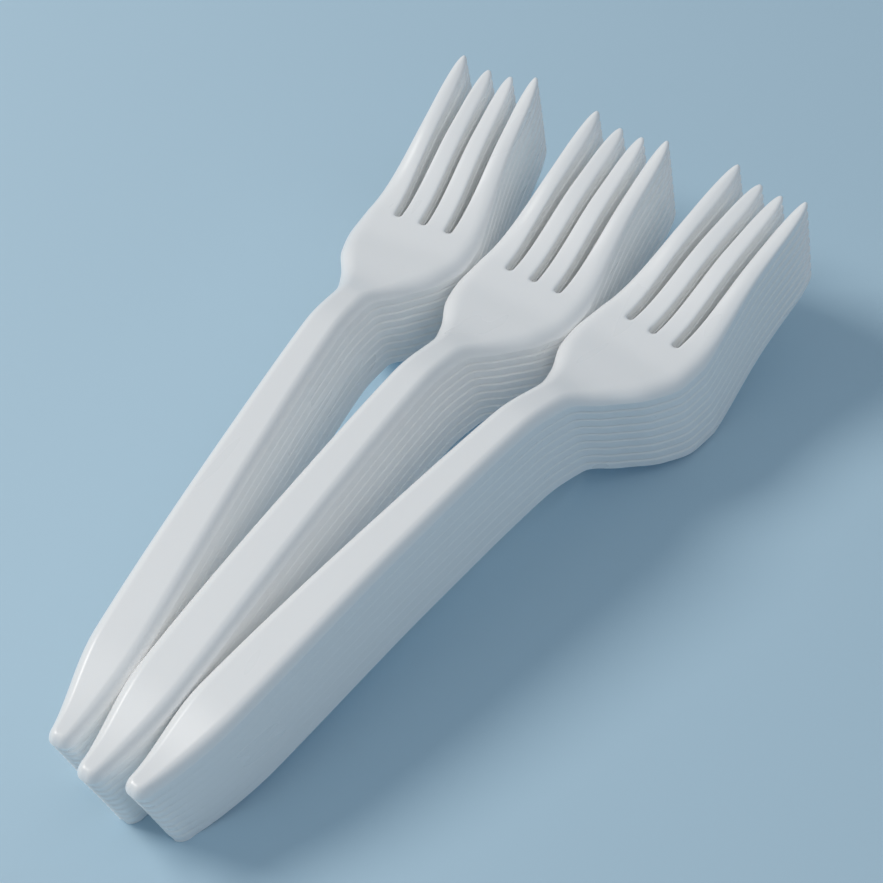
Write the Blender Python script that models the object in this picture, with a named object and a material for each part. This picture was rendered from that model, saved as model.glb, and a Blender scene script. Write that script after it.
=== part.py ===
"""Three nested stacks of disposable plastic forks, fanned out side by side on a table.

Every fork is one moulding with a shallow channel section, so each one seats over the fork below
it. The forks share one mesh. Metres, +Z up, the table at Z = 0, and +X from handles to tines.
"""
import math

import bmesh
import bpy
from mathutils import Matrix, Vector
from mathutils.geometry import delaunay_2d_cdt

MM = 0.001

# How many there are: three stacks, and the forks in each
FORKS_PER_STACK = 9

# Section of the moulding: a wall of even height whose edges turn down in an arc
WALL = 1.93 * MM
EDGE_RADIUS = 3.3 * MM
EDGE_TURN_DEG = 66.0
TINE_EDGE_DROP = 0.6 * MM
TIP_WALL = 1.5 * MM

# Nesting: the free gap over each fork, its slip towards the handles and its slight lift of the tines
NEST_GAP = 0.32 * MM
NEST_SLIP = 0.67 * MM
NEST_TILT_DEG = 0.16

# Runs along the fork, each from the station before it
ROUND_RUN = 2.6 * MM
KNEE_RUN = 17.4 * MM
GRIP_RUN = 40.0 * MM
ARCH_RUN = 30.0 * MM
NECK_RUN = 11.0 * MM
THROAT_RUN = 8.0 * MM
FLARE_RUN = 8.0 * MM
SHOULDER_RUN = 8.0 * MM
WEB_RUN = 5.8 * MM
TINE_BEND_RUN = 19.2 * MM
TINE_TIP_RUN = 15.5 * MM

# Widths at the same stations, and of the flat at the very end
END_FLAT = 2.6 * MM
END_WIDTH = 5.0 * MM
KNEE_WIDTH = 10.0 * MM
GRIP_WIDTH = 8.5 * MM
ARCH_WIDTH = 7.5 * MM
NECK_WIDTH = 7.4 * MM
THROAT_WIDTH = 12.8 * MM
FLARE_WIDTH = 21.1 * MM
SHOULDER_WIDTH = 24.5 * MM
WEB_WIDTH = 24.3 * MM

# Heights of the rim over the level that the fork rests on, at the same stations
KNEE_RISE = 3.4 * MM
GRIP_RISE = 8.5 * MM
ARCH_RISE = 10.3 * MM
NECK_RISE = 7.9 * MM
THROAT_RISE = 4.1 * MM
FLARE_RISE = 1.9 * MM
SHOULDER_RISE = 0.2 * MM
TINE_BEND_RISE = 6.6 * MM
TINE_TIP_RISE = 10.9 * MM
OUTER_TINE_LIFT = 2.0 * MM

# Tines: places of their middles and slots across the head
SLOT_WIDTH = 1.6 * MM
SLOT_PITCH = 5.4 * MM
INNER_TIP_Y = 2.33 * MM
OUTER_TIP_Y = 7.78 * MM
TINE_TAPER = 0.35 * MM
POINT_RUN = 9.5 * MM
THINNING_RUN = 9.0 * MM

# Fan of the stacks: how far forward each outer stack's end lies, its turn, and the gap between stacks
LEFT_FORWARD = 2.4 * MM
LEFT_TURN_DEG = 8.1
RIGHT_FORWARD = 2.0 * MM
RIGHT_TURN_DEG = -7.8
STACK_GAP = 0.3 * MM

PLASTIC_COLOUR = (0.83, 0.84, 0.85, 1.0)
PLASTIC_ROUGHNESS = 0.32

# Places that follow from the sizes
ROUND_X = ROUND_RUN
KNEE_X = ROUND_X + KNEE_RUN
GRIP_X = KNEE_X + GRIP_RUN
ARCH_X = GRIP_X + ARCH_RUN
NECK_X = ARCH_X + NECK_RUN
THROAT_X = NECK_X + THROAT_RUN
FLARE_X = THROAT_X + FLARE_RUN
SHOULDER_X = FLARE_X + SHOULDER_RUN
WEB_X = SHOULDER_X + WEB_RUN
TINE_BEND_X = WEB_X + TINE_BEND_RUN
TIP_X = TINE_BEND_X + TINE_TIP_RUN
TINE_LENGTH = TIP_X - WEB_X

EDGE_TURN = math.radians(EDGE_TURN_DEG)
EDGE_REACH = EDGE_RADIUS * math.sin(EDGE_TURN)
EDGE_DROP = EDGE_RADIUS * (1 - math.cos(EDGE_TURN))
NEST_RISE = WALL + NEST_GAP
NEST_TILT = math.radians(NEST_TILT_DEG)

WIDTHS = [(ROUND_X, END_WIDTH), (KNEE_X, KNEE_WIDTH), (GRIP_X, GRIP_WIDTH), (ARCH_X, ARCH_WIDTH),
          (NECK_X, NECK_WIDTH), (THROAT_X, THROAT_WIDTH), (FLARE_X, FLARE_WIDTH),
          (SHOULDER_X, SHOULDER_WIDTH), (WEB_X, WEB_WIDTH)]
RISES = [(0.0, 0.0), (ROUND_X, 0.0), (KNEE_X, KNEE_RISE), (GRIP_X, GRIP_RISE), (ARCH_X, ARCH_RISE),
         (NECK_X, NECK_RISE), (THROAT_X, THROAT_RISE), (FLARE_X, FLARE_RISE),
         (SHOULDER_X, SHOULDER_RISE), (WEB_X, 0.0), (TINE_BEND_X, TINE_BEND_RISE),
         (TIP_X, TINE_TIP_RISE)]


def clear_scene():
    for obj in list(bpy.data.objects):
        bpy.data.objects.remove(obj, do_unlink=True)


def station_slopes(stations):
    """Slope of a smooth curve at each (x, value) station: level at peaks, never overshooting."""
    steps = [(b[1] - a[1]) / (b[0] - a[0]) for a, b in zip(stations, stations[1:])]
    slopes = [steps[0]]
    for before, after in zip(steps, steps[1:]):
        turning = before * after <= 0
        slopes.append(0.0 if turning else 2 * before * after / (before + after))
    slopes.append(steps[-1])
    return slopes


def smooth_value(stations, x):
    """Read the smooth curve through the stations at x."""
    slopes = station_slopes(stations)
    index = 0
    while index < len(stations) - 2 and x > stations[index + 1][0]:
        index += 1
    (x0, y0), (x1, y1) = stations[index], stations[index + 1]
    run = x1 - x0
    t = min(max((x - x0) / run, 0.0), 1.0)
    ease = t * t * (3 - 2 * t)
    start_bend = t * (1 - t) ** 2 * slopes[index]
    end_bend = t * t * (t - 1) * slopes[index + 1]
    return y0 + (y1 - y0) * ease + run * (start_bend + end_bend)


def half_width(x):
    """Half of the fork's width from the handle end to the tine roots."""
    if x < ROUND_X:
        lean = 1 - x / ROUND_X
        bulge = math.sqrt(max(0.0, 1 - lean * lean))
        return (END_FLAT + (END_WIDTH - END_FLAT) * bulge) / 2
    return smooth_value(WIDTHS, x) / 2


def wall_height(x):
    """Upright height of the moulding's wall, which grows with the nesting's tilt."""
    return WALL + x * math.sin(NEST_TILT) * WALL / NEST_RISE


def top_height(x, y):
    """Height of the top face's crest: the rim's rise, the wall and the turned edge."""
    height = smooth_value(RISES, x) + wall_height(x) + EDGE_DROP
    along_tine = max(0.0, (x - WEB_X) / TINE_LENGTH)
    return height + OUTER_TINE_LIFT * along_tine * (y / OUTER_TIP_Y) ** 2


def edge_drop(inset):
    """How far the turned edge has dropped at this inset from the outline."""
    reach = min(max(EDGE_REACH - inset, 0.0), EDGE_REACH)
    return EDGE_RADIUS - math.sqrt(EDGE_RADIUS ** 2 - reach * reach)


def tine_middle_and_half(outer, t):
    """Middle and half width of a tine at t, from 0 at its root to 1 at its tip."""
    root_in = SLOT_PITCH + SLOT_WIDTH / 2 if outer else SLOT_WIDTH / 2
    root_out = WEB_WIDTH / 2 if outer else SLOT_PITCH - SLOT_WIDTH / 2
    tip_y = OUTER_TIP_Y if outer else INNER_TIP_Y
    point_start = 1 - POINT_RUN / TINE_LENGTH
    root_half = (root_out - root_in) / 2
    blunt_half = (SLOT_PITCH - SLOT_WIDTH) / 2 - TINE_TAPER
    middle = (root_in + root_out) / 2 * (1 - t) + tip_y * t
    if t < point_start:
        share = t / point_start
        return middle, root_half * (1 - share) + blunt_half * share
    to_tip = (t - point_start) / (1 - point_start)
    return middle, blunt_half * (1 - to_tip * to_tip)


def outer_edge(x):
    """Half of the fork's width anywhere, along the outer tines too."""
    if x <= WEB_X:
        return half_width(max(x, 0.0))
    middle, half = tine_middle_and_half(True, min((x - WEB_X) / TINE_LENGTH, 1.0))
    return middle + half


class Plan:
    """Points of the fork's plan, each with its drop below the crest, and the lines that join them."""

    def __init__(self):
        self.points = []
        self.drops = []
        self.lines = []

    def add(self, x, y, drop):
        self.points.append(Vector((x, y)))
        self.drops.append(drop)
        return len(self.points) - 1

    def join(self, indices, closed=False):
        self.lines += list(zip(indices, indices[1:]))
        if closed:
            self.lines.append((indices[-1], indices[0]))


# Where the plan has its points, as shares of a run: a coarse mesh that keeps the curves
CHAMFER_SHARE = 0.6
END_SHARES = (0.0, 0.3)
RUN_SHARES = [(ROUND_X, KNEE_X, (0.0, 0.5)), (KNEE_X, GRIP_X, (0.0, 0.4)),
              (GRIP_X, ARCH_X, (0.0, 0.5)), (ARCH_X, NECK_X, (0.0,)),
              (NECK_X, THROAT_X, (0.0, 0.55)), (THROAT_X, FLARE_X, (0.0, 0.5)),
              (FLARE_X, SHOULDER_X, (0.0, 0.5)), (SHOULDER_X, WEB_X, (0.1,))]
TINE_SHARES = (0.0, 0.38, 0.70, 0.90)
BOWL_SHARES = (0.0, 0.17, 0.38, 0.70, 0.90)
CREST_SHARES = (0.12, 0.40, 0.72)

# Filling the outline: keep what lies inside it, and merge points closer than this
INSIDE_OUTLINE = 1
MERGE_DISTANCE = 1e-7

# How many places along a fork are tried when two stacks are set side by side
SEAT_SAMPLES = 166


def side_stations():
    return [a + (b - a) * share for a, b, shares in RUN_SHARES for share in shares]


def outer_drop(t):
    """Drop of the head's outer edge along the outer tine, from the turned edge to a tine's own."""
    return EDGE_DROP + (TINE_EDGE_DROP - EDGE_DROP) * min(1.0, t / CREST_SHARES[-1])


def fork_outline(plan):
    """The outline, from the handle end up the left side, round the tines and back."""
    side = [ROUND_X * share for share in END_SHARES] + side_stations()
    left = [plan.add(x, half_width(x), EDGE_DROP) for x in side]
    tines = tine_outline(plan, True, 1)
    rest = ((SLOT_PITCH, False, 1), (0.0, False, -1), (-SLOT_PITCH, True, -1))
    for slot_middle, outer, mirror in rest:
        tines.append(plan.add(WEB_X - SLOT_WIDTH / 2, slot_middle, TINE_EDGE_DROP))
        tines += tine_outline(plan, outer, mirror)
    right = [plan.add(x, -half_width(x), EDGE_DROP) for x in reversed(side)]
    plan.join(left + tines + right, closed=True)


def tine_outline(plan, outer, mirror):
    """One tine's edge, from its left root over the tip to its right root."""
    def edge_point(t, side):
        middle, half = tine_middle_and_half(outer, t)
        far_side = outer and side > 0
        drop = outer_drop(t) if far_side else TINE_EDGE_DROP
        return plan.add(WEB_X + TINE_LENGTH * t, mirror * (middle + side * half), drop)

    def edge(side):
        shares = BOWL_SHARES if outer and side > 0 else TINE_SHARES
        return [edge_point(t, side) for t in shares]

    rising = edge(mirror)
    tip = edge_point(1.0, 0)
    falling = edge(-mirror)
    return rising + [tip] + falling[::-1]


def fork_ridges(plan):
    """Lines inside the outline: where the edge's turn begins, and each tine's crest."""
    plan.add(ROUND_X, 0.0, 0.0)
    inset = EDGE_REACH * CHAMFER_SHARE
    for mirror in (1, -1):
        line = []
        for x in side_stations()[1:]:
            half = half_width(x) - inset
            line.append(plan.add(x, mirror * half, edge_drop(inset)))
        plan.join(line)
        for outer in (True, False):
            crest = []
            for t in CREST_SHARES:
                middle, half = tine_middle_and_half(outer, t)
                crest.append(plan.add(WEB_X + TINE_LENGTH * t, mirror * middle, 0.0))
            plan.join(crest)


def nest_step(share):
    """The move from a fork to the next one up, or this share of it."""
    move = Vector((-NEST_SLIP, 0.0, NEST_RISE)) * share
    return Matrix.Translation(move) @ Matrix.Rotation(-NEST_TILT * share, 4, 'Y')


def wall_share(x):
    """Share of the nesting step that the wall fills: less along the tine points."""
    full = WALL / NEST_RISE
    thin = min(TIP_WALL, WALL) / NEST_RISE
    to_tip = max(0.0, 1 - (TIP_X - x) / THINNING_RUN)
    return full + (thin - full) * to_tip


def fork_mesh():
    """Fill the plan with triangles, lift it to the top face, and draw the wall down from it."""
    plan = Plan()
    fork_outline(plan)
    fork_ridges(plan)
    filled = delaunay_2d_cdt(plan.points, plan.lines, [], INSIDE_OUTLINE, MERGE_DISTANCE)
    points, _, faces, sources = filled[:4]
    bm = bmesh.new()
    for point, source in zip(points, sources):
        drop = plan.drops[source[0]]
        bm.verts.new((point.x, point.y, top_height(point.x, point.y) - drop))
    bm.verts.ensure_lookup_table()
    for face in faces:
        bm.faces.new([bm.verts[index] for index in face])
    grown = bmesh.ops.extrude_face_region(bm, geom=bm.faces[:])
    for vert in [item for item in grown['geom'] if isinstance(item, bmesh.types.BMVert)]:
        vert.co = nest_step(-wall_share(vert.co.x)) @ vert.co
    bmesh.ops.recalc_face_normals(bm, faces=bm.faces[:])
    mesh = bpy.data.meshes.new('fork')
    bm.to_mesh(mesh)
    bm.free()
    return mesh


def plastic(name):
    """White glossy plastic, one material for each fork."""
    material = bpy.data.materials.new(name)
    material.use_nodes = True
    shader = material.node_tree.nodes['Principled BSDF']
    shader.inputs['Base Color'].default_value = PLASTIC_COLOUR
    shader.inputs['Roughness'].default_value = PLASTIC_ROUGHNESS
    return material


def sideways_seat(forward, turn_deg):
    """Sideways place of an outer stack's end that leaves the stack gap to the middle stack.

    Both stacks lean back along themselves, so the lowest and the highest forks are both tried,
    each against the middle stack's fork beside it and the ones just above and below that.
    """
    turn = math.radians(turn_deg)
    side = math.copysign(1.0, turn_deg)
    samples = [TIP_X * index / SEAT_SAMPLES for index in range(SEAT_SAMPLES + 1)]
    needed = 0.0
    for slipped in (0.0, (FORKS_PER_STACK - 1) * NEST_SLIP):
        for x in samples:
            near = Vector((x - slipped, -side * outer_edge(x)))
            across = near.x * math.sin(turn) + near.y * math.cos(turn)
            along = near.x * math.cos(turn) - near.y * math.sin(turn) + forward + slipped
            for step in (-NEST_SLIP, 0.0, NEST_SLIP):
                needed = max(needed, outer_edge(along + step) - side * across)
    return side * (needed + STACK_GAP)


def make_stack(collection, mesh, name, end, turn_deg):
    """One nested stack under an empty at its handle end, numbered from the table up."""
    stand = bpy.data.objects.new(name + '_stack', None)
    collection.objects.link(stand)
    stand.location = (end[0], end[1], 0.0)
    stand.rotation_euler = (0.0, 0.0, math.radians(turn_deg))
    place = Matrix.Identity(4)
    for number in range(1, FORKS_PER_STACK + 1):
        fork = bpy.data.objects.new(f'{name}_fork_{number}', mesh)
        collection.objects.link(fork)
        fork.parent = stand
        fork.matrix_local = place
        fork.material_slots[0].link = 'OBJECT'
        fork.material_slots[0].material = plastic(fork.name)
        place = nest_step(1.0) @ place
    return stand


def centre_on_origin(stands, forks):
    """Move the stacks so that the middle of their footprint is the origin, on the table."""
    bpy.context.view_layer.update()
    corners = [fork.matrix_world @ vert.co for fork in forks for vert in fork.data.vertices]
    low = Vector([min(corner[axis] for corner in corners) for axis in range(3)])
    high = Vector([max(corner[axis] for corner in corners) for axis in range(3)])
    for stand in stands:
        stand.location -= Vector(((low.x + high.x) / 2, (low.y + high.y) / 2, low.z))
    bpy.context.view_layer.update()


def main():
    clear_scene()
    collection = bpy.data.collections.new('plastic_fork_stacks')
    bpy.context.scene.collection.children.link(collection)
    mesh = fork_mesh()
    mesh.materials.append(None)
    stands = [make_stack(collection, mesh, 'middle', (0.0, 0.0), 0.0)]
    for name, forward, turn_deg in (('left', LEFT_FORWARD, LEFT_TURN_DEG),
                                    ('right', RIGHT_FORWARD, RIGHT_TURN_DEG)):
        end = (forward, sideways_seat(forward, turn_deg))
        stands.append(make_stack(collection, mesh, name, end, turn_deg))
    forks = [obj for obj in collection.objects if obj.type == 'MESH']
    centre_on_origin(stands, forks)


main()
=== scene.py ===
# %% [markdown]
# # Three nested stacks of white plastic forks
#
# The object is 27 disposable forks. Nine of them sit in each other like chairs, and three such
# stacks lie fanned out side by side. The construction model already says how big a fork is and
# where each one lies. This script gives every fork its fine surface: the rounded shoulders, the
# round edges of the tines, the round slot ends and the soft satin of moulded plastic.

# %% Load the construction model as a fixed frame
import math

import bpy
import numpy as np
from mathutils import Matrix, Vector


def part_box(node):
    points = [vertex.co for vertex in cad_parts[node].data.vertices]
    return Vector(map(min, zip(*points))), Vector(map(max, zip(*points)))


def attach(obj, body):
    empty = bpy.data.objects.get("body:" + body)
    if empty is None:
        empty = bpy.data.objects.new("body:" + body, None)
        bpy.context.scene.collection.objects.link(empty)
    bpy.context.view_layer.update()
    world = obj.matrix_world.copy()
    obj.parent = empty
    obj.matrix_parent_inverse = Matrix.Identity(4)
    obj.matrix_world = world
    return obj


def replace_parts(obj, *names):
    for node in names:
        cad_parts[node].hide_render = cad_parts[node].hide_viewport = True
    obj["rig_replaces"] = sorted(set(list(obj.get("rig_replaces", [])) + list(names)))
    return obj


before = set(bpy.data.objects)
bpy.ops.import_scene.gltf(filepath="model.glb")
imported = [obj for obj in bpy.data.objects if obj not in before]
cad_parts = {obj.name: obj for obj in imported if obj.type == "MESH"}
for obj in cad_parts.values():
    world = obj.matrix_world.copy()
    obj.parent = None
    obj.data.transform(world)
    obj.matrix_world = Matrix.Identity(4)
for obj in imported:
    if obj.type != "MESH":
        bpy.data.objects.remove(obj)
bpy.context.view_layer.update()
print('frame nodes', len(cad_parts))

# %% [markdown]
# ## The sizes of one fork
#
# A moulded fork is drawn in two views. The side view is a line of heights: up from the handle end
# over the knee, along the arched grip, down the neck to the bowl and up again along the tines. The
# plan view is a line of widths. Both are given at a few stations along the fork, each as a
# distance from the handle end, and a smooth curve runs through them. The stations and their widths
# and heights are the construction model's own, so the fine fork fits the plain one. Only the outer
# tines differ a little: here they have a slight waist, and rise later along their length.

# %% Stations along the fork, in metres from the handle end
MM = 0.001
ROUND_X = 2.6 * MM
KNEE_X = ROUND_X + 17.4 * MM
GRIP_X = KNEE_X + 40.0 * MM
ARCH_X = GRIP_X + 30.0 * MM
NECK_X = ARCH_X + 11.0 * MM
THROAT_X = NECK_X + 8.0 * MM
FLARE_X = THROAT_X + 8.0 * MM
SHOULDER_X = FLARE_X + 8.0 * MM
WEB_X = SHOULDER_X + 5.8 * MM
TINE_BEND_X = WEB_X + 19.2 * MM
TIP_X = TINE_BEND_X + 15.5 * MM
TINE_LENGTH = TIP_X - WEB_X
print('fork length mm', round(TIP_X / MM, 1), 'tine length mm', round(TINE_LENGTH / MM, 1))

# %% Widths and rim heights at the stations
NOSE_FLAT = 0.8 * MM
END_WIDTH = 5.0 * MM
WEB_WIDTH = 24.3 * MM
WIDTHS = [(ROUND_X, END_WIDTH), (KNEE_X, 10.0 * MM), (GRIP_X, 8.5 * MM), (ARCH_X, 7.5 * MM),
          (NECK_X, 7.4 * MM), (THROAT_X, 12.8 * MM), (FLARE_X, 21.1 * MM), (SHOULDER_X, 24.5 * MM),
          (WEB_X, WEB_WIDTH)]
RISES = [(0.0, 0.0), (ROUND_X, 0.0), (KNEE_X, 3.4 * MM), (GRIP_X, 8.5 * MM), (ARCH_X, 10.3 * MM),
         (NECK_X, 7.9 * MM), (THROAT_X, 4.1 * MM), (FLARE_X, 1.9 * MM), (SHOULDER_X, 0.2 * MM),
         (WEB_X, 0.0), (TINE_BEND_X, 6.6 * MM), (TIP_X, 10.9 * MM)]
OUTER_TINE_LIFT = 2.0 * MM
print('stations', len(RISES), 'widest mm', max(width for _, width in WIDTHS) / MM)

# %% [markdown]
# ## The section and the nesting
#
# Cut across the handle, the fork is a shallow upside-down channel: flat on top, with edges that
# turn down in an arc. A channel like that drops over the one below it. Each fork sits one wall
# higher than the last and slips a little towards the handles, and the tines of the upper forks
# tilt up by a hair. The forks are pressed together here, so the wall fills nearly the whole step.

# %% Section, nesting and tines
EDGE_RADIUS = 3.3 * MM
EDGE_TURN = math.radians(66.0)
EDGE_REACH = EDGE_RADIUS * math.sin(EDGE_TURN)
EDGE_DROP = EDGE_RADIUS * (1 - math.cos(EDGE_TURN))
NEST_RISE = 2.25 * MM
NEST_SLIP = 0.67 * MM
NEST_TILT = math.radians(0.16)
PRESSED_GAP = 0.015 * MM
WALL = NEST_RISE - PRESSED_GAP
TIP_WALL = 0.8 * MM
THINNING_RUN = 5.5 * MM

SLOT_WIDTH = 1.6 * MM
SLOT_PITCH = 5.4 * MM
INNER_TIP_Y = 2.33 * MM
OUTER_TIP_Y = 7.78 * MM
TINE_TAPER = 0.35 * MM
TIP_ROUND = 0.9 * MM
TIP_BLUNTNESS = 8
POINT_RUN = 9.5 * MM
POINT_START = 1 - POINT_RUN / TINE_LENGTH
OUTER_TINE_WAIST = 0.35 * MM
SLOT_EDGES = [(0.0, 0.35 * MM), (WEB_X, 0.35 * MM), (TIP_X, 0.60 * MM)]
STEEPEST_SHARE = 0.97
TINE_CROWN = 0.12 * MM
CROWN_REACH = 1.9 * MM
CROWN_FULL_SHARE = 0.72
EDGE_REACHES = [(0.0, 1.5 * MM), (8.0 * MM, 1.9 * MM), (KNEE_X, 2.1 * MM), (ARCH_X, 2.1 * MM),
                (FLARE_X, EDGE_REACH), (WEB_X, 2.6 * MM), (TIP_X, 1.6 * MM)]
print('edge turns down mm', round(EDGE_DROP / MM, 2), 'over mm', round(EDGE_REACH / MM, 2))

# %% [markdown]
# ## A smooth curve through the stations
#
# A maker's curve should pass through every station, and never swing out between two of them. A
# cubic with its slope taken as the harmonic mean of the two steps beside a station does just that.
# Where the line turns back, the slope is level.


# %% The curve, for a whole array of places at once
def smooth_curve(stations, places):
    xs, values = (np.array(column) for column in zip(*stations))
    steps = np.diff(values) / np.diff(xs)
    slopes = np.zeros(len(xs))
    slopes[0], slopes[-1] = steps[0], steps[-1]
    same_way = steps[:-1] * steps[1:] > 0
    both = np.where(same_way, steps[:-1] + steps[1:], 1.0)
    slopes[1:-1] = np.where(same_way, 2 * steps[:-1] * steps[1:] / both, 0.0)
    index = np.clip(np.searchsorted(xs, places) - 1, 0, len(xs) - 2)
    run = xs[index + 1] - xs[index]
    t = np.clip((places - xs[index]) / run, 0.0, 1.0)
    ease = t * t * (3 - 2 * t)
    bend = t * (1 - t) ** 2 * slopes[index] + t * t * (t - 1) * slopes[index + 1]
    return values[index] + (values[index + 1] - values[index]) * ease + run * bend


arch_rise = float(smooth_curve(RISES, np.array([ARCH_X]))[0])
print('rim height at the arch mm', round(arch_rise / MM, 2))

# %% [markdown]
# ## The plan of the fork
#
# Seen from above, the handle end is a short flat with rounded corners. From there the width
# follows its curve to the tine roots. A tine is a strip that narrows slowly and then comes to a
# small round point. The slots between the tines are what is left.


# %% Half widths of the handle and of a tine
def half_width(x):
    lean = 1 - np.clip(x / ROUND_X, 0.0, 1.0)
    bulge = np.sqrt(1 - lean * lean)
    rounded = NOSE_FLAT + (END_WIDTH - NOSE_FLAT) * bulge
    return np.where(x < ROUND_X, rounded, smooth_curve(WIDTHS, x)) / 2


def tine_middle(outer, t):
    root_in = SLOT_PITCH + SLOT_WIDTH / 2 if outer else SLOT_WIDTH / 2
    root_out = WEB_WIDTH / 2 if outer else SLOT_PITCH - SLOT_WIDTH / 2
    tip_y = OUTER_TIP_Y if outer else INNER_TIP_Y
    waist = OUTER_TINE_WAIST * np.sin(math.pi * np.clip(t, 0.0, 1.0)) if outer else 0.0
    return (root_in + root_out) / 2 * (1 - t) + tip_y * t - waist


def tine_half(outer, t):
    inner_root = (SLOT_PITCH - SLOT_WIDTH) / 2
    root_half = (WEB_WIDTH / 2 - SLOT_PITCH - SLOT_WIDTH / 2) / 2 if outer else inner_root
    blunt_half = inner_root - TINE_TAPER
    share = np.clip(t / POINT_START, 0.0, 1.0)
    to_tip = np.clip((t - POINT_START) / (1 - POINT_START), 0.0, 1.0)
    narrowing = (blunt_half - TIP_ROUND) * (1 - to_tip ** 2)
    pointed = narrowing + TIP_ROUND * np.sqrt(1 - to_tip ** TIP_BLUNTNESS)
    waist = OUTER_TINE_WAIST * np.sin(math.pi * share) if outer else 0.0
    straight = root_half * (1 - share) + blunt_half * share - waist
    return np.where(t < POINT_START, straight, pointed)


tine_widths = [2 * float(tine_half(outer, 0.5)) for outer in (True, False)]
print('tine widths mm', [round(width / MM, 2) for width in tine_widths])

# %% [markdown]
# ## A net of rows and columns
#
# The surface is a net: rows run across the fork, columns run along it. Four groups of columns
# become the tines, and the three groups between them stop at the slot ends. Rows lie close
# together where the surface turns quickly, at the handle end, at the throat and at the points.

# %% Columns across the fork, as places at the tine roots
OUTER_COLUMNS = 10
INNER_COLUMNS = 8
SLOT_COLUMNS = 6


def spread(count):
    """Places from -1 to 1, closer together near both ends."""
    return -np.cos(np.linspace(0.0, math.pi, count + 1))


STRIPS = []
for outer, mirror in ((True, -1), (False, -1), (False, 1), (True, 1)):
    count = OUTER_COLUMNS if outer else INNER_COLUMNS
    STRIPS.append({'outer': outer, 'mirror': mirror, 'places': spread(count)})
root_y = []
for number, strip in enumerate(STRIPS):
    middle = strip['mirror'] * float(tine_middle(strip['outer'], 0.0))
    strip['first'] = len(root_y)
    root_y += list(middle + strip['places'] * float(tine_half(strip['outer'], 0.0)))
    if number < len(STRIPS) - 1:
        slot_middle = (number - 1) * SLOT_PITCH
        root_y += list(slot_middle + spread(SLOT_COLUMNS)[1:-1] * SLOT_WIDTH / 2)
COLUMN_Y = np.array(root_y)
print('columns', len(COLUMN_Y))


# %% Rows along the body and along the tines
def stretch(start, end, count):
    return list(np.linspace(start, end, count, endpoint=False))


END_ROWS = 8
ROWS_FROM = [(ROUND_X, 3), (ROUND_X + EDGE_REACH, 8), (KNEE_X, 14), (GRIP_X, 11), (ARCH_X, 7),
             (NECK_X, 24), (SHOULDER_X, 9), (WEB_X, 0)]
end_turn = np.linspace(0.0, math.pi / 2, END_ROWS, endpoint=False)
body_x = list(ROUND_X * (1 - np.cos(end_turn)))
for (start, count), (end, _) in zip(ROWS_FROM, ROWS_FROM[1:]):
    body_x += stretch(start, end, count)
BODY_X = np.array(body_x + [WEB_X])

TINE_ROWS = 16
POINT_ROWS = 9
TIP_ROWS = [0.94, 0.957, 0.972, 0.984, 0.992, 0.997]
tine_t = stretch(0.0, POINT_START, TINE_ROWS) + stretch(POINT_START, TIP_ROWS[0], POINT_ROWS)
TINE_T = np.array(tine_t[1:] + TIP_ROWS)
print('rows', len(BODY_X), 'and', len(TINE_T), 'along the tines')

# %% [markdown]
# ## Round slot ends
#
# The last row of the body should curve round the end of each slot. Every column in a slot is
# pulled back by the depth of a half circle. The rows before it are pulled back too, less and less,
# so the net stays even.


# %% Points of the body and of the tines in plan
PULL_SPREAD = 1.6 * SLOT_WIDTH
PULL_REACH = 3 * SLOT_WIDTH


def body_points():
    share = COLUMN_Y / COLUMN_Y[-1]
    x = np.repeat(BODY_X[:, None], len(COLUMN_Y), axis=1)
    y = half_width(BODY_X)[:, None] * share[None, :]
    from_slot = np.abs(COLUMN_Y[:, None] - SLOT_PITCH * np.array([-1, 0, 1])[None, :]).min(axis=1)
    radius = SLOT_WIDTH / 2
    depth = np.sqrt(np.clip(radius ** 2 - from_slot ** 2, 0.0, None))
    fade = np.exp(-((WEB_X - BODY_X) / PULL_SPREAD) ** 2 * 2)
    fade *= np.clip(1 - (WEB_X - BODY_X) / PULL_REACH, 0.0, 1.0)
    return x - fade[:, None] * depth[None, :], y


def tine_points(strip):
    middle = strip['mirror'] * tine_middle(strip['outer'], TINE_T)
    half = tine_half(strip['outer'], TINE_T)
    x = np.repeat((WEB_X + TINE_LENGTH * TINE_T)[:, None], len(strip['places']), axis=1)
    return x, middle[:, None] + half[:, None] * strip['places'][None, :]


# %% Lay the net out as a list of points and four-sided faces
def lay_net():
    x, y = body_points()
    rows, columns = x.shape
    points = [np.stack([x.ravel(), y.ravel()], axis=1)]
    index = np.arange(rows * columns).reshape(rows, columns)
    faces = [grid_faces(index)]
    count = rows * columns
    for strip in STRIPS:
        x, y = tine_points(strip)
        points.append(np.stack([x.ravel(), y.ravel()], axis=1))
        own = count + np.arange(x.size).reshape(x.shape)
        root = index[-1, strip['first']:strip['first'] + x.shape[1]]
        faces.append(grid_faces(np.vstack([root[None, :], own])))
        count += x.size
    return np.vstack(points), np.vstack(faces)


def grid_faces(index):
    corners = (index[:-1, :-1], index[1:, :-1], index[1:, 1:], index[:-1, 1:])
    return np.stack([corner.ravel() for corner in corners], axis=1)


PLAN, NET = lay_net()
print('net points', len(PLAN), 'faces', len(NET))


# %% [markdown]
# ## The outline and the distance to it
#
# The rim of the net is one closed loop, round the tines and slots. The roundness of the surface
# depends only on how far a point is from that rim, so the loop is found first, and the distance
# from each point to its nearest piece is measured. The outer side and the slots are kept apart,
# because the outer side turns down much further.


# %% Follow the rim of the net
def rim_loop(faces):
    edges = np.vstack([faces[:, [k, (k + 1) % 4]] for k in range(4)])
    used = {(a, b) for a, b in edges.tolist()}
    onward = {a: b for a, b in used if (b, a) not in used}
    loop = [next(iter(sorted(onward)))]
    while onward[loop[-1]] != loop[0]:
        loop.append(onward[loop[-1]])
    return np.array(loop)


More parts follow.
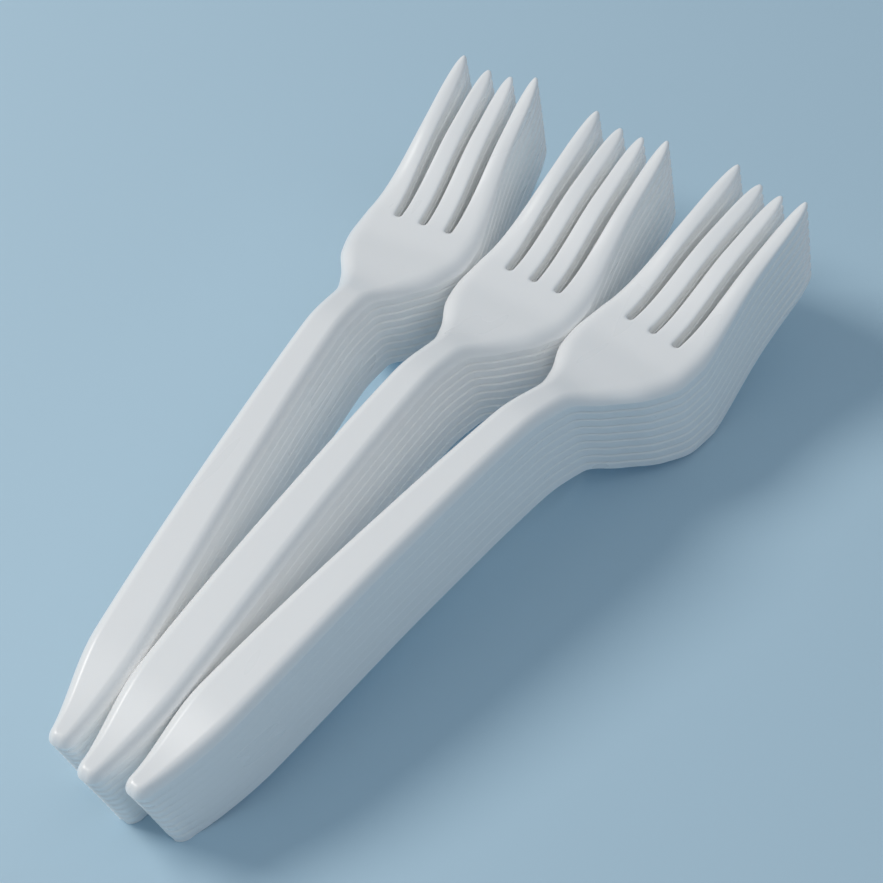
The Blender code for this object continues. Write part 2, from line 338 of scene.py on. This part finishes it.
def distance_to(points, starts, ends):
    """Distance from each point to the nearest of the pieces from starts to ends."""
    along = ends - starts
    rel = points[:, None, :] - starts[None, :, :]
    share = (rel * along).sum(axis=2) / (along ** 2).sum(axis=1)
    gap = rel - np.clip(share, 0.0, 1.0)[:, :, None] * along
    return np.sqrt((gap ** 2).sum(axis=2)).min(axis=1)


RIM = rim_loop(NET)
starts, ends = PLAN[RIM], PLAN[np.roll(RIM, -1)]
middles = (starts + ends) / 2
outer_middle = tine_middle(True, np.clip((middles[:, 0] - WEB_X) / TINE_LENGTH, 0.0, 1.0))
IS_OUTSIDE = (middles[:, 0] < WEB_X - SLOT_WIDTH) | (np.abs(middles[:, 1]) > outer_middle)
OUTER_INSET = distance_to(PLAN, starts[IS_OUTSIDE], ends[IS_OUTSIDE])
SLOT_INSET = distance_to(PLAN, starts[~IS_OUTSIDE], ends[~IS_OUTSIDE])
print('rim pieces', len(RIM), 'of them outside', int(IS_OUTSIDE.sum()))


# %% [markdown]
# ## The top face
#
# Height is the rim's rise, plus the wall, plus the drop of the turned edge, less what has dropped
# at this distance from the rim. Along the tines the deep turn of the edge fades into the nearly
# flat top of a tine, which has a slight crown and a round edge.


# %% Lift the net to the top face
def quarter_round(inset, x):
    radius = smooth_curve(SLOT_EDGES, x)
    turn = np.clip(radius - inset, 0.0, STEEPEST_SHARE * radius)
    return radius - np.sqrt(radius ** 2 - turn ** 2)


def top_face(points):
    x, y = points[:, 0], points[:, 1]
    wall = WALL + x * math.sin(NEST_TILT) * WALL / NEST_RISE
    along_tine = np.clip((x - WEB_X) / TINE_LENGTH, 0.0, 1.0)
    crest = smooth_curve(RISES, x) + wall + EDGE_DROP
    off_middle = np.minimum(np.abs(y) / OUTER_TIP_Y, 1.0)
    crest += OUTER_TINE_LIFT * along_tine ** 2 * off_middle ** 2
    turn = EDGE_REACH * (1 - np.clip(OUTER_INSET / smooth_curve(EDGE_REACHES, x), 0.0, 1.0))
    turned = EDGE_RADIUS - np.sqrt(EDGE_RADIUS ** 2 - turn ** 2)
    fade = np.clip(along_tine / CROWN_FULL_SHARE, 0.0, 1.0)
    inset = np.minimum(SLOT_INSET, OUTER_INSET)
    crowned = TINE_CROWN * (1 - np.clip(inset / CROWN_REACH, 0.0, 1.0)) ** 2
    drop = (1 - fade) * turned + fade * (crowned + quarter_round(inset, x))
    drop = np.maximum(drop, quarter_round(SLOT_INSET, x))
    return np.column_stack([x, y, crest - drop])


TOP = top_face(PLAN)
print('top face mm', TOP.min(axis=0) / MM, TOP.max(axis=0) / MM)


# %% [markdown]
# ## The wall and the underside
#
# The underside is the same face again, moved back along the nesting step. That is why the forks
# nest: the top of one is the underside of the next. Between the two faces runs the wall. Its rows
# follow a quarter round, which is wide at the handle end and at the points and very small between.
# Along the points of the tines the wall gets thinner, so that the points of a stack stand apart
# like the teeth of a comb.


# %% Move points by a share of the nesting step
def nest_back(points, share):
    turn = NEST_TILT * share
    x = points[:, 0] * np.cos(turn) - points[:, 2] * np.sin(turn) + NEST_SLIP * share
    z = points[:, 0] * np.sin(turn) + points[:, 2] * np.cos(turn) - NEST_RISE * share
    return np.column_stack([x, points[:, 1], z])


def wall_share(x):
    full = WALL / NEST_RISE
    to_tip = np.clip(1 - (TIP_X - x) / THINNING_RUN, 0.0, 1.0)
    return full + (TIP_WALL / NEST_RISE - full) * to_tip


# %% Inward directions along the rim, and the room that a rounded rim has there
def rim_inward():
    before, after = PLAN[np.roll(RIM, 1)], PLAN[np.roll(RIM, -1)]
    along = after - before
    along /= np.linalg.norm(along, axis=1)[:, None]
    return np.column_stack([-along[:, 1], along[:, 0]])


RIM_ROUNDS = [(0.0, 0.60 * MM), (1.8 * MM, 0.32 * MM), (6.0 * MM, 0.02 * MM), (KNEE_X, 0.01 * MM),
              (ARCH_X, 0.01 * MM), (THROAT_X, 0.03 * MM), (WEB_X, 0.02 * MM),
              (TINE_BEND_X, 0.02 * MM), (TIP_X - 5.0 * MM, 0.16 * MM), (TIP_X, 0.50 * MM)]
WALL_DEPTHS = [0.0, 0.04, 0.3, 0.5, 0.68, 0.82, 0.93, 1.0]
WALL_ROWS = [(depth, 1 - math.sqrt(1 - depth ** 2)) for depth in WALL_DEPTHS]
inward = rim_inward()
centre_side = ((PLAN.mean(axis=0) - PLAN[RIM]) * inward).sum(axis=1)
print('rim normals that face the middle of the plan', int((centre_side > 0).sum()), 'of', len(RIM))


# %% Close the skin into one body
def closed_fork():
    share = wall_share(TOP[:, 0])
    under = nest_back(TOP, share)
    rim_top, rim_share = TOP[RIM], share[RIM]
    room = smooth_curve(RIM_ROUNDS, rim_top[:, 0])
    layers = []
    for down, inset in WALL_ROWS[1:]:
        row = nest_back(rim_top, rim_share * down)
        row[:, :2] += inward * (room * inset)[:, None]
        layers.append(row)
    under[RIM] = layers[-1]
    vertices = np.vstack([TOP, under] + layers[:-1])
    bands = [RIM]
    for number in range(len(layers) - 1):
        bands.append(2 * len(TOP) + number * len(RIM) + np.arange(len(RIM)))
    bands.append(len(TOP) + RIM)
    faces = NET.tolist() + (NET[:, ::-1] + len(TOP)).tolist()
    for high, low in zip(bands, bands[1:]):
        ring = np.stack([np.roll(high, -1), high, low, np.roll(low, -1)], axis=1)
        faces += ring.tolist()
    mesh = bpy.data.meshes.new('fork')
    mesh.from_pydata(vertices.tolist(), [], faces)
    mesh.validate()
    return mesh


fork_mesh = closed_fork()
print('fork vertices', len(fork_mesh.vertices), 'faces', len(fork_mesh.polygons))

# %% [markdown]
# ## Seat each fork in its stack with Geometry Nodes
#
# A stack is one shape that repeats by a rule, which is what Geometry Nodes are for. The tree below
# takes the one fork. A repeat zone moves it by the nesting step as many times as there are forks
# under it, and a last move turns it into the fan. The step's sizes are inputs with names, so the
# tree could stack cups or chairs as well.


# %% The tree that stacks a piece
def stacking_tree():
    tree = bpy.data.node_groups.new('seat in the stack', 'GeometryNodeTree')
    sockets = tree.interface
    sockets.new_socket('Piece', in_out='INPUT', socket_type='NodeSocketGeometry')
    sockets.new_socket('Forks below', in_out='INPUT', socket_type='NodeSocketInt')
    for name in ('Nest rise', 'Nest slip', 'Nest tilt', 'Stack turn'):
        sockets.new_socket(name, in_out='INPUT', socket_type='NodeSocketFloat')
    sockets.new_socket('Stack end', in_out='INPUT', socket_type='NodeSocketVector')
    sockets.new_socket('Plastic', in_out='INPUT', socket_type='NodeSocketMaterial')
    sockets.new_socket('Stacked', in_out='OUTPUT', socket_type='NodeSocketGeometry')
    fill_stacking_tree(tree)
    return tree


def fill_stacking_tree(tree):
    nodes, link = tree.nodes, tree.links.new
    given = nodes.new('NodeGroupInput')
    result = nodes.new('NodeGroupOutput')
    first = nodes.new('GeometryNodeRepeatInput')
    last = nodes.new('GeometryNodeRepeatOutput')
    first.pair_with_output(last)
    link(given.outputs['Forks below'], first.inputs['Iterations'])
    link(given.outputs['Piece'], first.inputs['Geometry'])
    back = minus(tree, given.outputs['Nest slip'])
    lift = minus(tree, given.outputs['Nest tilt'])
    step = mover(tree, (back, None, given.outputs['Nest rise']), (None, lift, None))
    link(first.outputs['Geometry'], step.inputs['Geometry'])
    link(step.outputs['Geometry'], last.inputs['Geometry'])
    fan = mover(tree, None, (None, None, given.outputs['Stack turn']))
    link(given.outputs['Stack end'], fan.inputs['Translation'])
    link(last.outputs['Geometry'], fan.inputs['Geometry'])
    real = nodes.new('GeometryNodeRealizeInstances')
    finish = nodes.new('GeometryNodeSetMaterial')
    link(fan.outputs['Geometry'], real.inputs['Geometry'])
    link(real.outputs['Geometry'], finish.inputs['Geometry'])
    link(given.outputs['Plastic'], finish.inputs['Material'])
    link(finish.outputs['Geometry'], result.inputs['Stacked'])


# %% Small helpers for the tree
def minus(tree, value):
    node = tree.nodes.new('ShaderNodeMath')
    node.operation = 'MULTIPLY'
    node.inputs[1].default_value = -1.0
    tree.links.new(value, node.inputs[0])
    return node.outputs[0]


def vector_of(tree, values):
    node = tree.nodes.new('ShaderNodeCombineXYZ')
    for socket, value in zip(node.inputs, values):
        if value is not None:
            tree.links.new(value, socket)
    return node.outputs[0]


def mover(tree, place, turn):
    node = tree.nodes.new('GeometryNodeTransform')
    rotation = tree.nodes.new('FunctionNodeEulerToRotation')
    tree.links.new(vector_of(tree, turn), rotation.inputs[0])
    tree.links.new(rotation.outputs[0], node.inputs['Rotation'])
    if place:
        tree.links.new(vector_of(tree, place), node.inputs['Translation'])
    return node


STACKING = stacking_tree()
print('tree nodes', len(STACKING.nodes))

# %% [markdown]
# ## The white plastic
#
# Cutlery like this is moulded from a milky plastic. Light goes in a little way and comes out
# again, which softens the edges of every shadow, and the skin has a satin gloss. Nothing is
# painted, so the colour hardly changes. What changes is the skin: long faint flow marks from
# filling the mould, and a very fine grain that spreads the highlights.

# %% Colour, scatter, gloss, flow marks and grain of the plastic
MILK_LIGHT = (0.975, 0.972, 0.965, 1.0)
MILK_SHADE = (0.96, 0.96, 0.955, 1.0)
REFRACTION = 1.5
SCATTER_SHARE = 0.15
SCATTER_DEPTH = 0.4 * MM
SCATTER_COLOUR = (1.0, 0.95, 0.9)
ROUGHNESS = (0.27, 0.32)
NOISE_RANGE = (0.3, 0.7)
FLOW_STRETCH = (30.0, 160.0, 160.0)
FLOW_NOISE = {'scale': 1.0, 'detail': 1.5}
FLOW_BUMP = {'strength': 0.01, 'distance': 0.1 * MM}
GRAIN_NOISE = {'scale': 2600.0, 'detail': 2.0}
GRAIN_BUMP = {'strength': 0.05, 'distance': 0.02 * MM}
print('scatter depth mm', SCATTER_DEPTH / MM)


# %% One procedural material for all forks
def white_plastic():
    material = bpy.data.materials.new('white_plastic')
    material.use_nodes = True
    nodes, link = material.node_tree.nodes, material.node_tree.links.new
    shader = nodes['Principled BSDF']
    shader.inputs['IOR'].default_value = REFRACTION
    shader.inputs['Subsurface Weight'].default_value = SCATTER_SHARE
    shader.inputs['Subsurface Radius'].default_value = SCATTER_COLOUR
    shader.inputs['Subsurface Scale'].default_value = SCATTER_DEPTH
    place = nodes.new('ShaderNodeTexCoord')
    flow_scale = nodes.new('ShaderNodeMapping')
    flow_scale.inputs['Scale'].default_value = FLOW_STRETCH
    link(place.outputs['Object'], flow_scale.inputs['Vector'])
    flow = noise(nodes, **FLOW_NOISE)
    link(flow_scale.outputs['Vector'], flow.inputs['Vector'])
    grain = noise(nodes, **GRAIN_NOISE)
    link(place.outputs['Object'], grain.inputs['Vector'])
    tint = nodes.new('ShaderNodeMix')
    tint.data_type = 'RGBA'
    tint.inputs['A'].default_value = MILK_SHADE
    tint.inputs['B'].default_value = MILK_LIGHT
    link(flow.outputs['Fac'], tint.inputs['Factor'])
    link(tint.outputs['Result'], shader.inputs['Base Color'])
    link(remap(material, flow.outputs['Fac'], ROUGHNESS), shader.inputs['Roughness'])
    waves = bump(nodes, **FLOW_BUMP)
    skin = bump(nodes, **GRAIN_BUMP)
    link(flow.outputs['Fac'], waves.inputs['Height'])
    link(grain.outputs['Fac'], skin.inputs['Height'])
    link(waves.outputs['Normal'], skin.inputs['Normal'])
    link(skin.outputs['Normal'], shader.inputs['Normal'])
    return material


# %% Helpers of the material
def noise(nodes, scale, detail):
    node = nodes.new('ShaderNodeTexNoise')
    node.inputs['Scale'].default_value = scale
    node.inputs['Detail'].default_value = detail
    return node


def remap(material, value, to):
    node = material.node_tree.nodes.new('ShaderNodeMapRange')
    node.inputs['From Min'].default_value, node.inputs['From Max'].default_value = NOISE_RANGE
    node.inputs['To Min'].default_value, node.inputs['To Max'].default_value = to
    material.node_tree.links.new(value, node.inputs['Value'])
    return node.outputs['Result']


def bump(nodes, strength, distance):
    node = nodes.new('ShaderNodeBump')
    node.inputs['Strength'].default_value = strength
    node.inputs['Distance'].default_value = distance
    return node


PLASTIC = white_plastic()
print('material', PLASTIC.name)

# %% [markdown]
# ## Where the stacks lie
#
# The three stacks are turned a few degrees from each other, and nearly touch at their heads. The
# turns are sizes of the fan. The place of each stack is read from the frame: it is the middle of
# the handle end of its lowest fork.

# %% Find the handle end of each stack in the frame
FORKS_PER_STACK = 9
STACK_TURNS = {'left': math.radians(8.1), 'middle': 0.0, 'right': math.radians(-7.8)}
END_TOLERANCE = 0.02 * MM


def stack_end(name):
    turn = STACK_TURNS[name]
    along = Vector((math.cos(turn), math.sin(turn), 0.0))
    corners = [vert.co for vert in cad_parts[name + '_fork_1'].data.vertices]
    low = [corner for corner in corners if corner.z < WALL + EDGE_DROP]
    first = min(corner.dot(along) for corner in low)
    end = [corner for corner in low if corner.dot(along) < first + END_TOLERANCE]
    middle = sum(end, Vector()) / len(end)
    return Vector((middle.x, middle.y, 0.0))


STACK_ENDS = {name: stack_end(name) for name in STACK_TURNS}
for name, end in STACK_ENDS.items():
    print(name, 'stack starts at mm', [round(c / MM, 2) for c in end])


# %% [markdown]
# ## Make the 27 forks
#
# Every fork is its own piece, as in the drawer. The tree is evaluated once for each, the result is
# kept as a plain mesh, and the piece stands for the plain fork of the same name.


# %% Evaluate the tree for one fork
def seated_fork(stack, number):
    carrier = bpy.data.objects.new('carrier', fork_mesh)
    bpy.context.scene.collection.objects.link(carrier)
    modifier = carrier.modifiers.new('stacking', 'NODES')
    modifier.node_group = STACKING
    values = {'Forks below': number - 1, 'Nest rise': NEST_RISE, 'Nest slip': NEST_SLIP,
              'Nest tilt': NEST_TILT, 'Stack turn': STACK_TURNS[stack],
              'Stack end': STACK_ENDS[stack], 'Plastic': PLASTIC}
    for socket in STACKING.interface.items_tree:
        if socket.in_out == 'INPUT' and socket.name in values:
            modifier[socket.identifier] = values[socket.name]
    seen = carrier.evaluated_get(bpy.context.evaluated_depsgraph_get())
    mesh = bpy.data.meshes.new_from_object(seen)
    bpy.data.objects.remove(carrier)
    return mesh


# %% Mark the line between the top face and the wall as a sharp edge
def mark_rim(mesh):
    pairs = np.empty(2 * len(mesh.edges), dtype=np.int32)
    mesh.edges.foreach_get('vertices', pairs)
    pairs = np.sort(pairs.reshape(-1, 2).astype(np.int64), axis=1)
    rim = np.sort(np.stack([RIM, np.roll(RIM, -1)], axis=1), axis=1)
    on_rim = np.isin(pairs @ (len(mesh.vertices), 1), rim @ (len(mesh.vertices), 1))
    sharp = np.empty(len(mesh.edges), dtype=bool)
    mesh.edges.foreach_get('use_edge_sharp', sharp)
    mesh.edges.foreach_set('use_edge_sharp', sharp | on_rim)
    return int(on_rim.sum())


# %% All forks, each standing for its plain one
SHARP_RIM = math.radians(50.0)
pieces = []
for stack in STACK_TURNS:
    for number in range(1, FORKS_PER_STACK + 1):
        mesh = seated_fork(stack, number)
        mesh.shade_smooth()
        mesh.set_sharp_from_angle(angle=SHARP_RIM)
        rim_edges = mark_rim(mesh)
        piece = bpy.data.objects.new(f'{stack}_moulded_fork_{number}', mesh)
        bpy.context.scene.collection.objects.link(piece)
        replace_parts(piece, f'{stack}_fork_{number}')
        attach(piece, 'root')
        pieces.append(piece)
triangles = sum(len(face.vertices) - 2 for piece in pieces for face in piece.data.polygons)
print('forks', len(pieces), 'triangles', triangles, 'rim edges', rim_edges, 'of', len(RIM))

# %% Compare each fork's box with the frame's
worst = 0.0
for piece in pieces:
    low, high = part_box(piece['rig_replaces'][0])
    corners = [vert.co for vert in piece.data.vertices]
    for axis in range(3):
        worst = max(worst, abs(min(corner[axis] for corner in corners) - low[axis]),
                    abs(max(corner[axis] for corner in corners) - high[axis]))
print('largest difference from the plain forks mm', round(worst / MM, 3))

# %% [markdown]
# ## The floor
#
# A plain pale sheet with a cool tint lies under the forks. It is large enough to fill the view
# from any side. A little of its colour is thrown back on the undersides.


# %% Floor
FLOOR_COLOUR = (0.50, 0.68, 0.80, 1.0)
FLOOR_ROUGHNESS = 0.75
FLOOR_HALF = 4.0
FLOOR_DROP = 0.02 * MM


def floor_material():
    material = bpy.data.materials.new('pale_floor')
    material.use_nodes = True
    shader = material.node_tree.nodes['Principled BSDF']
    shader.inputs['Base Color'].default_value = FLOOR_COLOUR
    shader.inputs['Roughness'].default_value = FLOOR_ROUGHNESS
    return material


floor_mesh = bpy.data.meshes.new('floor')
sides = [(-1, -1), (1, -1), (1, 1), (-1, 1)]
floor_corners = [(x * FLOOR_HALF, y * FLOOR_HALF, -FLOOR_DROP) for x, y in sides]
floor_mesh.from_pydata(floor_corners, [], [(0, 1, 2, 3)])
floor = bpy.data.objects.new('floor', floor_mesh)
floor_mesh.materials.append(floor_material())
bpy.context.scene.collection.objects.link(floor)
print('floor half width m', FLOOR_HALF)

# %% [markdown]
# ## The camera
#
# The picture is taken from the handle ends' side, looking down at the fan. The camera's height,
# its tilt and its heading were fitted to the outline of the stacks. The heading is measured from
# the middle stack, and the camera's place from that stack's handle end.

# %% Camera
LOOK_DOWN = math.radians(48.35)
HEADING = math.radians(34.31)
CAMERA_FROM_END = Vector((-126.1, -150.3, 307.6)) * MM
PICTURE_PIXELS = 883
FOCAL_PIXELS = 2149.0
NEAREST_SEEN = 0.01
camera_data = bpy.data.cameras.new('camera')
camera_data.lens = camera_data.sensor_width * FOCAL_PIXELS / PICTURE_PIXELS
camera_data.clip_start = NEAREST_SEEN
camera = bpy.data.objects.new('camera', camera_data)
camera.location = STACK_ENDS['middle'] + CAMERA_FROM_END
camera.rotation_euler = (math.pi / 2 - LOOK_DOWN, 0.0, HEADING - math.pi / 2)
bpy.context.scene.collection.objects.link(camera)
bpy.context.scene.camera = camera
print('camera at mm', [round(c / MM, 1) for c in camera.location])
print('lens mm', round(camera_data.lens, 1))

# %% [markdown]
# ## The light
#
# One broad soft lamp stands to the left and a little beyond the forks. It gives the light tops,
# the shaded right-hand walls and the soft shadow. A larger and weaker one stands high on the
# camera's right and reaches into the slots. The room is an even pale blue. White plastic passes
# light on from wall to wall, so the light may bounce many times.

# %% Lamps, room and bounces
KEY_LAMP = {'heading': HEADING + math.radians(80.0), 'height': math.radians(47.0),
            'distance': 1.0, 'size': 0.4, 'watts': 4.95, 'colour': (1.0, 0.96, 0.91)}
FILL_LAMP = {'heading': HEADING - math.radians(125.0), 'height': math.radians(58.0),
             'distance': 1.2, 'size': 0.9, 'watts': 1.25, 'colour': (0.86, 0.94, 1.0)}
ROOM_COLOUR = (0.74, 0.87, 1.0, 1.0)
ROOM_STRENGTH = 0.33
LIGHT_BOUNCES = 24


def soft_lamp(name, heading, height, distance, size, watts, colour):
    data = bpy.data.lights.new(name, 'AREA')
    data.shape = 'DISK'
    data.size = size
    data.energy = watts
    data.color = colour
    lamp = bpy.data.objects.new(name, data)
    across = math.cos(height)
    toward = Vector((math.cos(heading) * across, math.sin(heading) * across, math.sin(height)))
    lamp.location = toward * distance
    lamp.rotation_mode = 'QUATERNION'
    lamp.rotation_quaternion = toward.to_track_quat('Z', 'Y')
    bpy.context.scene.collection.objects.link(lamp)
    return lamp


soft_lamp('key', **KEY_LAMP)
soft_lamp('fill', **FILL_LAMP)
world = bpy.data.worlds.new('room')
world.use_nodes = True
world.node_tree.nodes['Background'].inputs['Color'].default_value = ROOM_COLOUR
world.node_tree.nodes['Background'].inputs['Strength'].default_value = ROOM_STRENGTH
bpy.context.scene.world = world
bpy.context.scene.view_settings.view_transform = 'Standard'
bpy.context.scene.cycles.max_bounces = LIGHT_BOUNCES
bpy.context.scene.cycles.diffuse_bounces = LIGHT_BOUNCES
